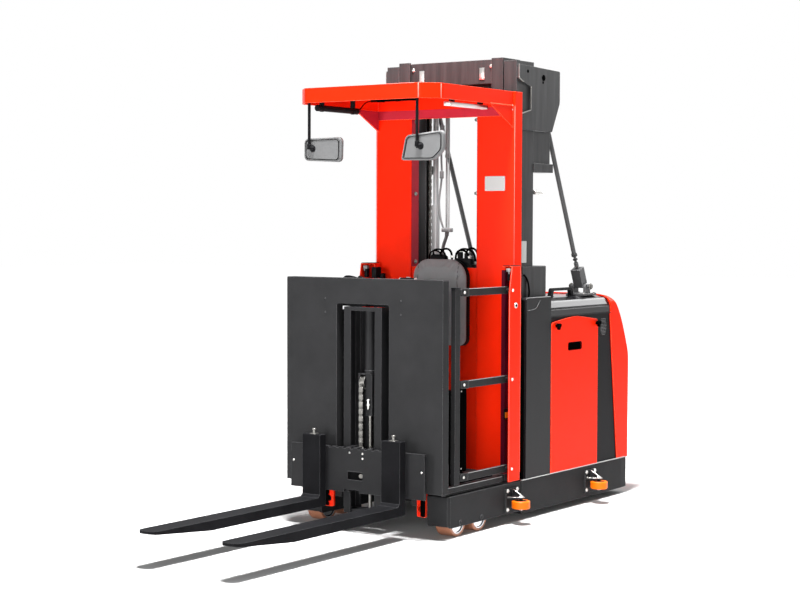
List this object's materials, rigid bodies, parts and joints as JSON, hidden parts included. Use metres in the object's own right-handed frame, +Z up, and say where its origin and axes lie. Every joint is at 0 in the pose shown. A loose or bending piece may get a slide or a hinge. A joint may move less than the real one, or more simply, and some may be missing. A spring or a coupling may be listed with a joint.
{
  "type": "order picker",
  "caption": "Rider order picker: straddle chassis, two-stage mast, lifting operator platform with guard and gates, fork mast with chain, long forks.",
  "frame": {"origin": "on the floor, below the middle of the bounding box", "axes": "+X across the truck to its right side as seen from the fork end, -Y towards the fork tips, +Z up"},
  "size_m": [1.2, 3.4498, 2.518],
  "materials": {
    "red_paint": "semi-gloss",
    "charcoal_paint": "fine texture",
    "black_paint": "satin",
    "mast_steel": "satin",
    "cylinder_grey": "satin",
    "chrome_rod": "polished",
    "chain_steel": "oiled",
    "orange_tyre": "cast polyurethane",
    "brown_tyre": "cast polyurethane",
    "grey_plastic": "grained",
    "black_plastic": "grained",
    "cushion": "vinyl",
    "smoked_glass": "tinted",
    "battery_case": "satin"
  },
  "bodies": {
    "chassis": {"chassis_legs": "charcoal_paint", "chassis_base": "charcoal_paint", "power_housing": "black_plastic", "battery_block": "battery_case", "battery_doors": "red_paint", "hood_cover": "black_plastic", "battery_handle": "black_paint", "rear_fairing": "red_paint", "column_covers": "black_paint", "roller_brackets": "charcoal_paint", "outer_mast": "mast_steel", "mast_head": "mast_steel", "mast_brackets": "mast_steel", "mast_foot_boxes": "mast_steel", "mast_stays": "black_paint", "lift_barrels": "cylinder_grey"},
    "inner_mast": {"inner_mast": "mast_steel", "lift_rods": "chrome_rod"},
    "platform": {"platform_floor": "charcoal_paint", "front_feet": "red_paint", "uprights": "red_paint", "back_wall": "red_paint", "overhead_guard": "red_paint", "guard_window": "smoked_glass", "side_posts": "red_paint", "front_panel": "charcoal_paint", "fork_mast": "black_paint", "fork_rod": "chain_steel", "chain_rear": "chain_steel", "console": "black_plastic", "controls": "black_plastic", "backrest": "cushion", "mirrors": "grey_plastic", "guard_lamps": "black_plastic", "mast_carriage": "mast_steel"},
    "crosshead": {"crosshead": "black_paint"},
    "fork_carriage": {"fork_carriage": "black_paint", "forks": "black_paint", "chain_front": "chain_steel"},
    "drive_turntable": {"drive_yoke": "black_paint"},
    "drive_wheel": {"drive_wheel": "brown_tyre"},
    "load_wheel_front_left": {"load_wheel_front_left": "brown_tyre"},
    "load_wheel_rear_left": {"load_wheel_rear_left": "brown_tyre"},
    "guide_roller_front_left": {"guide_roller_front_left": "orange_tyre"},
    "guide_roller_rear_left": {"guide_roller_rear_left": "orange_tyre"},
    "gate_top_rail_left": {"gate_top_rail_left": "charcoal_paint"},
    "gate_mid_rail_left": {"gate_mid_rail_left": "charcoal_paint"},
    "gate_low_rail_left": {"gate_low_rail_left": "charcoal_paint"},
    "gate_bar_left": {"gate_bar_left": "charcoal_paint"},
    "load_wheel_front_right": {"load_wheel_front_right": "brown_tyre"},
    "load_wheel_rear_right": {"load_wheel_rear_right": "brown_tyre"},
    "guide_roller_front_right": {"guide_roller_front_right": "orange_tyre"},
    "guide_roller_rear_right": {"guide_roller_rear_right": "orange_tyre"},
    "gate_top_rail_right": {"gate_top_rail_right": "charcoal_paint"},
    "gate_mid_rail_right": {"gate_mid_rail_right": "charcoal_paint"},
    "gate_low_rail_right": {"gate_low_rail_right": "charcoal_paint"},
    "gate_bar_right": {"gate_bar_right": "charcoal_paint"}
  },
  "joints": [
    {"name": "mast_lift", "type": "slide", "parent": "chassis", "child": "inner_mast", "axis": [0, 0, 1], "range_m": [0, 1.7]},
    {"name": "platform_lift", "type": "slide", "parent": "inner_mast", "child": "platform", "axis": [0, 0, 1], "range_m": [0, 1.7]},
    {"name": "fork_lift", "type": "slide", "parent": "platform", "child": "fork_carriage", "axis": [0, 0, 1], "range_m": [0, 0.64], "deforming": ["chain_front"]},
    {"name": "crosshead_lift", "type": "slide", "parent": "platform", "child": "crosshead", "axis": [0, 0, 1], "range_m": [0, 0.32], "deforming": ["chain_rear"]},
    {"name": "drive_steer", "type": "hinge", "parent": "chassis", "child": "drive_turntable", "pos_m": [0, 1.39, 0.115], "axis": [0, 0, 1], "range_deg": [-90, 90]},
    {"name": "drive_roll", "type": "hinge", "parent": "drive_turntable", "child": "drive_wheel", "pos_m": [0, 1.39, 0.115], "axis": [1, 0, 0], "continuous": true},
    {"name": "load_roll_front_left", "type": "hinge", "parent": "chassis", "child": "load_wheel_front_left", "pos_m": [-0.419, -0.16, 0.075], "axis": [1, 0, 0], "continuous": true},
    {"name": "load_roll_rear_left", "type": "hinge", "parent": "chassis", "child": "load_wheel_rear_left", "pos_m": [-0.419, 0.045, 0.075], "axis": [1, 0, 0], "continuous": true},
    {"name": "guide_roll_front_left", "type": "hinge", "parent": "chassis", "child": "guide_roller_front_left", "pos_m": [-0.55, 0.328, 0.11], "axis": [0, 0, 1], "continuous": true},
    {"name": "guide_roll_rear_left", "type": "hinge", "parent": "chassis", "child": "guide_roller_rear_left", "pos_m": [-0.55, 1.196, 0.11], "axis": [0, 0, 1], "continuous": true},
    {"name": "gate_lift_left", "type": "hinge", "parent": "platform", "child": "gate_top_rail_left", "pos_m": [-0.457, 0.308, 1.26], "axis": [-1, 0, 0], "range_deg": [0, 60]},
    {"name": "gate_mid_swing_left", "type": "hinge", "parent": "platform", "child": "gate_mid_rail_left", "pos_m": [-0.457, 0.308, 0.782], "axis": [-1, 0, 0], "range_deg": [0, 60]},
    {"name": "gate_low_swing_left", "type": "hinge", "parent": "platform", "child": "gate_low_rail_left", "pos_m": [-0.457, 0.308, 0.3], "axis": [-1, 0, 0], "range_deg": [0, 60]},
    {"name": "gate_bar_swing_left", "type": "hinge", "parent": "gate_top_rail_left", "child": "gate_bar_left", "pos_m": [-0.457, -0.107, 1.26], "axis": [-1, 0, 0], "range_deg": [-60, 0]},
    {"name": "load_roll_front_right", "type": "hinge", "parent": "chassis", "child": "load_wheel_front_right", "pos_m": [0.419, -0.16, 0.075], "axis": [1, 0, 0], "continuous": true},
    {"name": "load_roll_rear_right", "type": "hinge", "parent": "chassis", "child": "load_wheel_rear_right", "pos_m": [0.419, 0.045, 0.075], "axis": [1, 0, 0], "continuous": true},
    {"name": "guide_roll_front_right", "type": "hinge", "parent": "chassis", "child": "guide_roller_front_right", "pos_m": [0.55, 0.328, 0.11], "axis": [0, 0, 1], "continuous": true},
    {"name": "guide_roll_rear_right", "type": "hinge", "parent": "chassis", "child": "guide_roller_rear_right", "pos_m": [0.55, 1.196, 0.11], "axis": [0, 0, 1], "continuous": true},
    {"name": "gate_lift_right", "type": "hinge", "parent": "platform", "child": "gate_top_rail_right", "pos_m": [0.457, 0.308, 1.26], "axis": [-1, 0, 0], "range_deg": [0, 60]},
    {"name": "gate_mid_swing_right", "type": "hinge", "parent": "platform", "child": "gate_mid_rail_right", "pos_m": [0.457, 0.308, 0.782], "axis": [-1, 0, 0], "range_deg": [0, 60]},
    {"name": "gate_low_swing_right", "type": "hinge", "parent": "platform", "child": "gate_low_rail_right", "pos_m": [0.457, 0.308, 0.3], "axis": [-1, 0, 0], "range_deg": [0, 60]},
    {"name": "gate_bar_swing_right", "type": "hinge", "parent": "gate_top_rail_right", "child": "gate_bar_right", "pos_m": [0.457, -0.107, 1.26], "axis": [-1, 0, 0], "range_deg": [-60, 0]}
  ],
  "couplings": [
    {"joint": "platform_lift", "follows": "mast_lift", "ratio": 1},
    {"joint": "crosshead_lift", "follows": "fork_lift", "ratio": 0.5},
    {"joint": "gate_mid_swing_left", "follows": "gate_lift_left", "ratio": 1},
    {"joint": "gate_low_swing_left", "follows": "gate_lift_left", "ratio": 1},
    {"joint": "gate_bar_swing_left", "follows": "gate_lift_left", "ratio": -1},
    {"joint": "gate_mid_swing_right", "follows": "gate_lift_right", "ratio": 1},
    {"joint": "gate_low_swing_right", "follows": "gate_lift_right", "ratio": 1},
    {"joint": "gate_bar_swing_right", "follows": "gate_lift_right", "ratio": -1}
  ]
}
